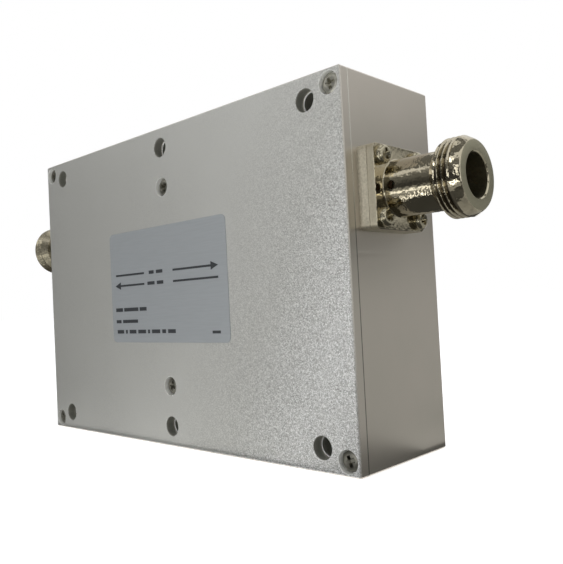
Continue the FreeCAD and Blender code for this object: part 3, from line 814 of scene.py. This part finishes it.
def rolled_metal(name, dark, light, roughness):
    """Rolled strip or sheet: metal with fine lines along the rolling."""
    material, tree, place = new_material(name)
    rolling = drawn_noise(tree, place, (8, 1, 0.3), detail=3.0)
    colour = mixed_colour(tree, rolling, dark, light)
    relief = bump(tree, rolling, 0.2, 0.01)
    finish_material(tree, {"Base Color": colour, "Metallic": 1.0, "Roughness": roughness,
                           "Normal": relief})
    return material


garnet = fired_ceramic("lapped_garnet", "1f1c1b", "2c2827", 0.4, 0.35)
magnet = fired_ceramic("ceramic_magnet", "3a3a3b", "4a4a4a", 0.6, 0.6)
chip = fired_ceramic("chip_capacitor_ceramic", "a89a7c", "b8aa8c", 0.3, 0.5)
alumina = fired_ceramic("alumina", "d9d6ce", "e6e4de", 0.4, 0.5)
plated_steel = rolled_metal("nickel_plated_steel_sheet", "9d9b95", "b1afa9", 0.35)
copper = rolled_metal("rolled_copper", "b87352", "c98463", 0.32)
for side in ("left", "right"):
    for place in ("front", "rear"):
        dress(f"{side}_{place}_ferrite", garnet)
        dress(f"{side}_{place}_magnet", magnet)
        dress(f"{side}_{place}_pole_plate", plated_steel)
        dress(f"{side}_{place}_return_plate", plated_steel)
    dress(f"{side}_centre_conductor", copper)
    dress(f"{side}_tuning_capacitors", chip)

# Loads and strap: each load is a film on an alumina tile soldered to a copper flange, with a
# copper lead. A copper strap on a block of fluoropolymer joins the two junctions.

for side in ("left", "right"):
    dress(f"{side}_load_flange", copper)
    dress(f"{side}_load_lead", copper)
    dress(f"{side}_load_element", alumina)
dress("interconnect_strap", copper)
dress("strap_support", white_rod)

# Studio: a white floor in a white room, with one soft lamp above and one in front. Cards that only
# shiny surfaces show stand for a workshop: grey walls with bright window panes, and sheets and a
# strip on the bench. All measures are in metres.


def studio_sheet(name, points, faces, material):
    """A sheet that belongs to the studio."""
    data = bpy.data.meshes.new(name)
    data.from_pydata(points, [], faces)
    data.materials.append(material)
    sheet = new_object(name, data)
    return sheet


def flat_sheet(name, corners, material):
    """A sheet of one face."""
    return studio_sheet(name, corners, [range(len(corners))], material)


def white_where_seen(tree):
    """1 for camera, mirror and glass rays, 0 for the rays that light the object."""
    seen = add(tree, "ShaderNodeLightPath", out="Is Camera Ray")
    for kind in ("Is Glossy Ray", "Is Transmission Ray"):
        ray = add(tree, "ShaderNodeLightPath", out=kind)
        seen = maths(tree, "MAXIMUM", seen, ray)
    return seen


def white_floor():
    """Matt white card. Its own glow lifts it to the background's white and keeps the shadow."""
    material, tree, place = new_material("white_card")
    fibre = noise(tree, place, 2)
    colour = mixed_colour(tree, fibre, "f4f4f3", "fafaf9")
    matt = add(tree, "ShaderNodeBsdfDiffuse", {"Color": colour})
    glow = add(tree, "ShaderNodeEmission", {"Strength": FLOOR_GLOW})
    both = add(tree, "ShaderNodeAddShader", {"Shader": matt, "Shader_001": glow})
    mixed = add(tree, "ShaderNodeMixShader",
                {"Fac": white_where_seen(tree), "Shader": matt, "Shader_001": both})
    add(tree, "ShaderNodeOutputMaterial", {"Surface": mixed})
    return material


def card_material(name, tones, low, high, power=1.0):
    """A card's own glow, graded from tone to tone up the card, with a faint cloud."""
    material, tree, place = new_material(name)
    height = coordinate(tree, place, "Z")
    share = ranged(tree, height, low, high)
    ramp = tree.nodes.new("ShaderNodeValToRGB")
    while len(ramp.color_ramp.elements) < len(tones):
        ramp.color_ramp.elements.new(1.0)
    for stop, (at, tone) in zip(ramp.color_ramp.elements, tones):
        stop.position = at
        stop.color = linear(tone)
    tree.links.new(share, ramp.inputs["Fac"])
    cloud = noise(tree, place, 50)
    strength = ranged(tree, cloud, 0.35, 0.65, 0.7 * power, 1.2 * power)
    add(tree, "ShaderNodeOutputMaterial", {"Surface": add(
        tree, "ShaderNodeEmission", {"Color": ramp.outputs["Color"], "Strength": strength})})
    return material


def show_in_shine_only(sheet):
    """Keeps a card out of the picture, off matt surfaces and without a shadow."""
    sheet.visible_camera = False
    sheet.visible_diffuse = False
    sheet.visible_shadow = False


def wall(name, first, last, reach, bottom, top, tones, power=1.0):
    """A curved card standing round the object from one bearing to another, in degrees right of
    the front."""
    steps = 12
    points = []
    for step in range(steps + 1):
        bearing = math.radians(first + (last - first) * step / steps)
        foot = (WALL_MIDDLE[0] + reach * math.sin(bearing),
                WALL_MIDDLE[1] - reach * math.cos(bearing))
        points += [(*foot, bottom), (*foot, top)]
    faces = [(2 * at, 2 * at + 2, 2 * at + 3, 2 * at + 1) for at in range(steps)]
    material = card_material(name, tones, bottom, top, power)
    show_in_shine_only(studio_sheet(name, points, faces, material))


def level_card(name, tone, left, right, near, far, height, power=1.0):
    """A card that lies level at a height."""
    corners = [(left, near, height), (right, near, height), (right, far, height),
               (left, far, height)]
    material = card_material(name, ((0.0, tone), (1.0, tone)), 0.0, 1.0, power)
    show_in_shine_only(flat_sheet(name, corners, material))


FLOOR_GLOW, FLOOR_HALF = 0.6, 6.0
flat_sheet("floor", [(-FLOOR_HALF, -FLOOR_HALF, 0), (FLOOR_HALF, -FLOOR_HALF, 0),
                     (FLOOR_HALF, FLOOR_HALF, 0), (-FLOOR_HALF, FLOOR_HALF, 0)], white_floor())
WALL_MIDDLE = (0.05, -0.02)
PANE = ((0.0, "f4f4f0"), (1.0, "ffffff"))
ROOM_TONES = ((0.0, "565653"), (0.08, "484845"), (0.24, "444442"), (0.33, "565653"),
              (0.55, "767673"), (0.83, "8c8c89"), (1.0, "a4a4a0"))
wall("wall_front", -100, 70, 0.34, 0.0, 0.36, ROOM_TONES)
wall("window_far_left", -62, -50, 0.33, 0.17, 0.30, PANE, 2.0)
wall("window_left", -27.5, -25.5, 0.33, 0.26, 0.35, PANE, 1.5)
wall("window_right", 37, 48, 0.33, 0.27, 0.38, PANE, 5.0)
wall("window_side", 48, 58, 0.33, 0.07, 0.20, PANE, 2.0)
BACK_TONES = ((0.0, "acaca8"), (0.15, "c4c4c0"), (0.24, "4c4c4a"), (0.33, "4c4c4a"),
              (0.42, "c8c8c4"), (1.0, "ffffff"))
wall("wall_behind_right", 95, 190, 0.34, 0.0, 0.36, BACK_TONES)
# A dark bench with paler sheets on it, the nearest of which lights the foot of the cover
level_card("bench", "565653", -0.35, 0.42, -0.40, 0.35, 0.0004)
level_card("bench_front", "acaca8", -0.35, 0.42, -0.40, -0.075, 0.0006)
level_card("bench_far", "d0d0cc", -0.45, 0.30, -0.20, -0.12, 0.0008)
level_card("paper_left", "fafaf6", -0.03, 0.04, -0.17, -0.13, 0.0012, 2.2)
level_card("paper_right", "fafaf6", 0.15, 0.26, -0.22, -0.13, 0.0012, 4.0)
level_card("bench_near", "c4c4c0", -0.085, 0.052, -0.042, -0.0175, 0.0007)
level_card("bench_edge", "fafaf6", -0.07, 0.015, -0.067, -0.052, 0.0008, 1.5)
# A strip laid aslant on the bench, whose reflection is the bright line along the barrel
flat_strip = [(0.0409, -0.0461, 0.0014), (0.0395, -0.0451, 0.0014),
              (-0.0603, -0.1930, 0.0014), (-0.0577, -0.1946, 0.0014)]
show_in_shine_only(flat_sheet("bright_strip", flat_strip,
                              card_material("bright_strip", PANE, 0.0, 1.0, 8.0)))
level_card("bench_right", "a4a4a0", 0.080, 0.34, -0.02, 0.03, 0.0008)
level_card("bench_behind", "b0b0ac", 0.061, 0.34, 0.008, 0.24, 0.0010)
# A flag under the right barrel keeps its underside dark
level_card("port_flag", "4c4c49", 0.0635, 0.078, -0.0165, 0.006, 0.045)
level_card("ceiling", "7c7c79", -0.40, 0.50, -0.47, 0.43, 0.75)
level_card("ceiling_panel", "dededb", -0.18, 0.28, -0.25, 0.21, 0.74, 1.3)

world = bpy.data.worlds.new("white_room")
bpy.context.scene.world = world
world.use_nodes = True
room = world.node_tree
room.nodes.clear()
lighting = add(room, "ShaderNodeBackground", {"Color": linear("f7f8fa"), "Strength": 0.55})
shown = add(room, "ShaderNodeBackground", {"Color": linear("ffffff"), "Strength": 1.0})
mixed = add(room, "ShaderNodeMixShader",
            {"Fac": white_where_seen(room), "Shader": lighting, "Shader_001": shown})
add(room, "ShaderNodeOutputWorld", {"Surface": mixed})


def soft_lamp(name, place, aim, size, power):
    """A square lamp that faces a point."""
    light = bpy.data.lights.new(name, "AREA")
    light.size, light.energy = size, power
    lamp = new_object(name, light)
    lamp.location = place
    lamp.rotation_mode = "QUATERNION"
    lamp.rotation_quaternion = (Vector(aim) - Vector(place)).to_track_quat("-Z", "Y")


middle = (0, 0, 0.04)
soft_lamp("front_lamp", (0.0, -0.55, 0.02), middle, 0.16, 1.5)
soft_lamp("top_lamp", (0.15, 0.10, 0.9), middle, 0.5, 2.0)

# Camera: a little below the middle of the housing's height, off its right front corner. The
# focal length is the photograph's, worked out from the housing's edges.

PICTURE_HEIGHT, FOCAL_PIXELS = 564, 667.3
CAMERA_PLACE = (0.1404, -0.1221, 0.0355)
CAMERA_AZIMUTH, CAMERA_ELEVATION, CAMERA_ROLL = 43.21, -1.79, -2.94

lens = bpy.data.cameras.new("camera")
lens.sensor_width = 36.0
lens.lens = lens.sensor_width * FOCAL_PIXELS / PICTURE_HEIGHT
lens.clip_start, lens.clip_end = 0.01, 40.0
camera = new_object("camera", lens)
camera.location = CAMERA_PLACE
azimuth, elevation = math.radians(CAMERA_AZIMUTH), math.radians(CAMERA_ELEVATION)
forward = Vector((-math.sin(azimuth) * math.cos(elevation),
                  math.cos(azimuth) * math.cos(elevation), -math.sin(elevation)))
camera.rotation_mode = "QUATERNION"
camera.rotation_quaternion = (forward.to_track_quat("-Z", "Y")
                              @ Quaternion((0, 0, 1), math.radians(CAMERA_ROLL)))
bpy.context.scene.camera = camera
bpy.context.scene.view_settings.view_transform = "Standard"
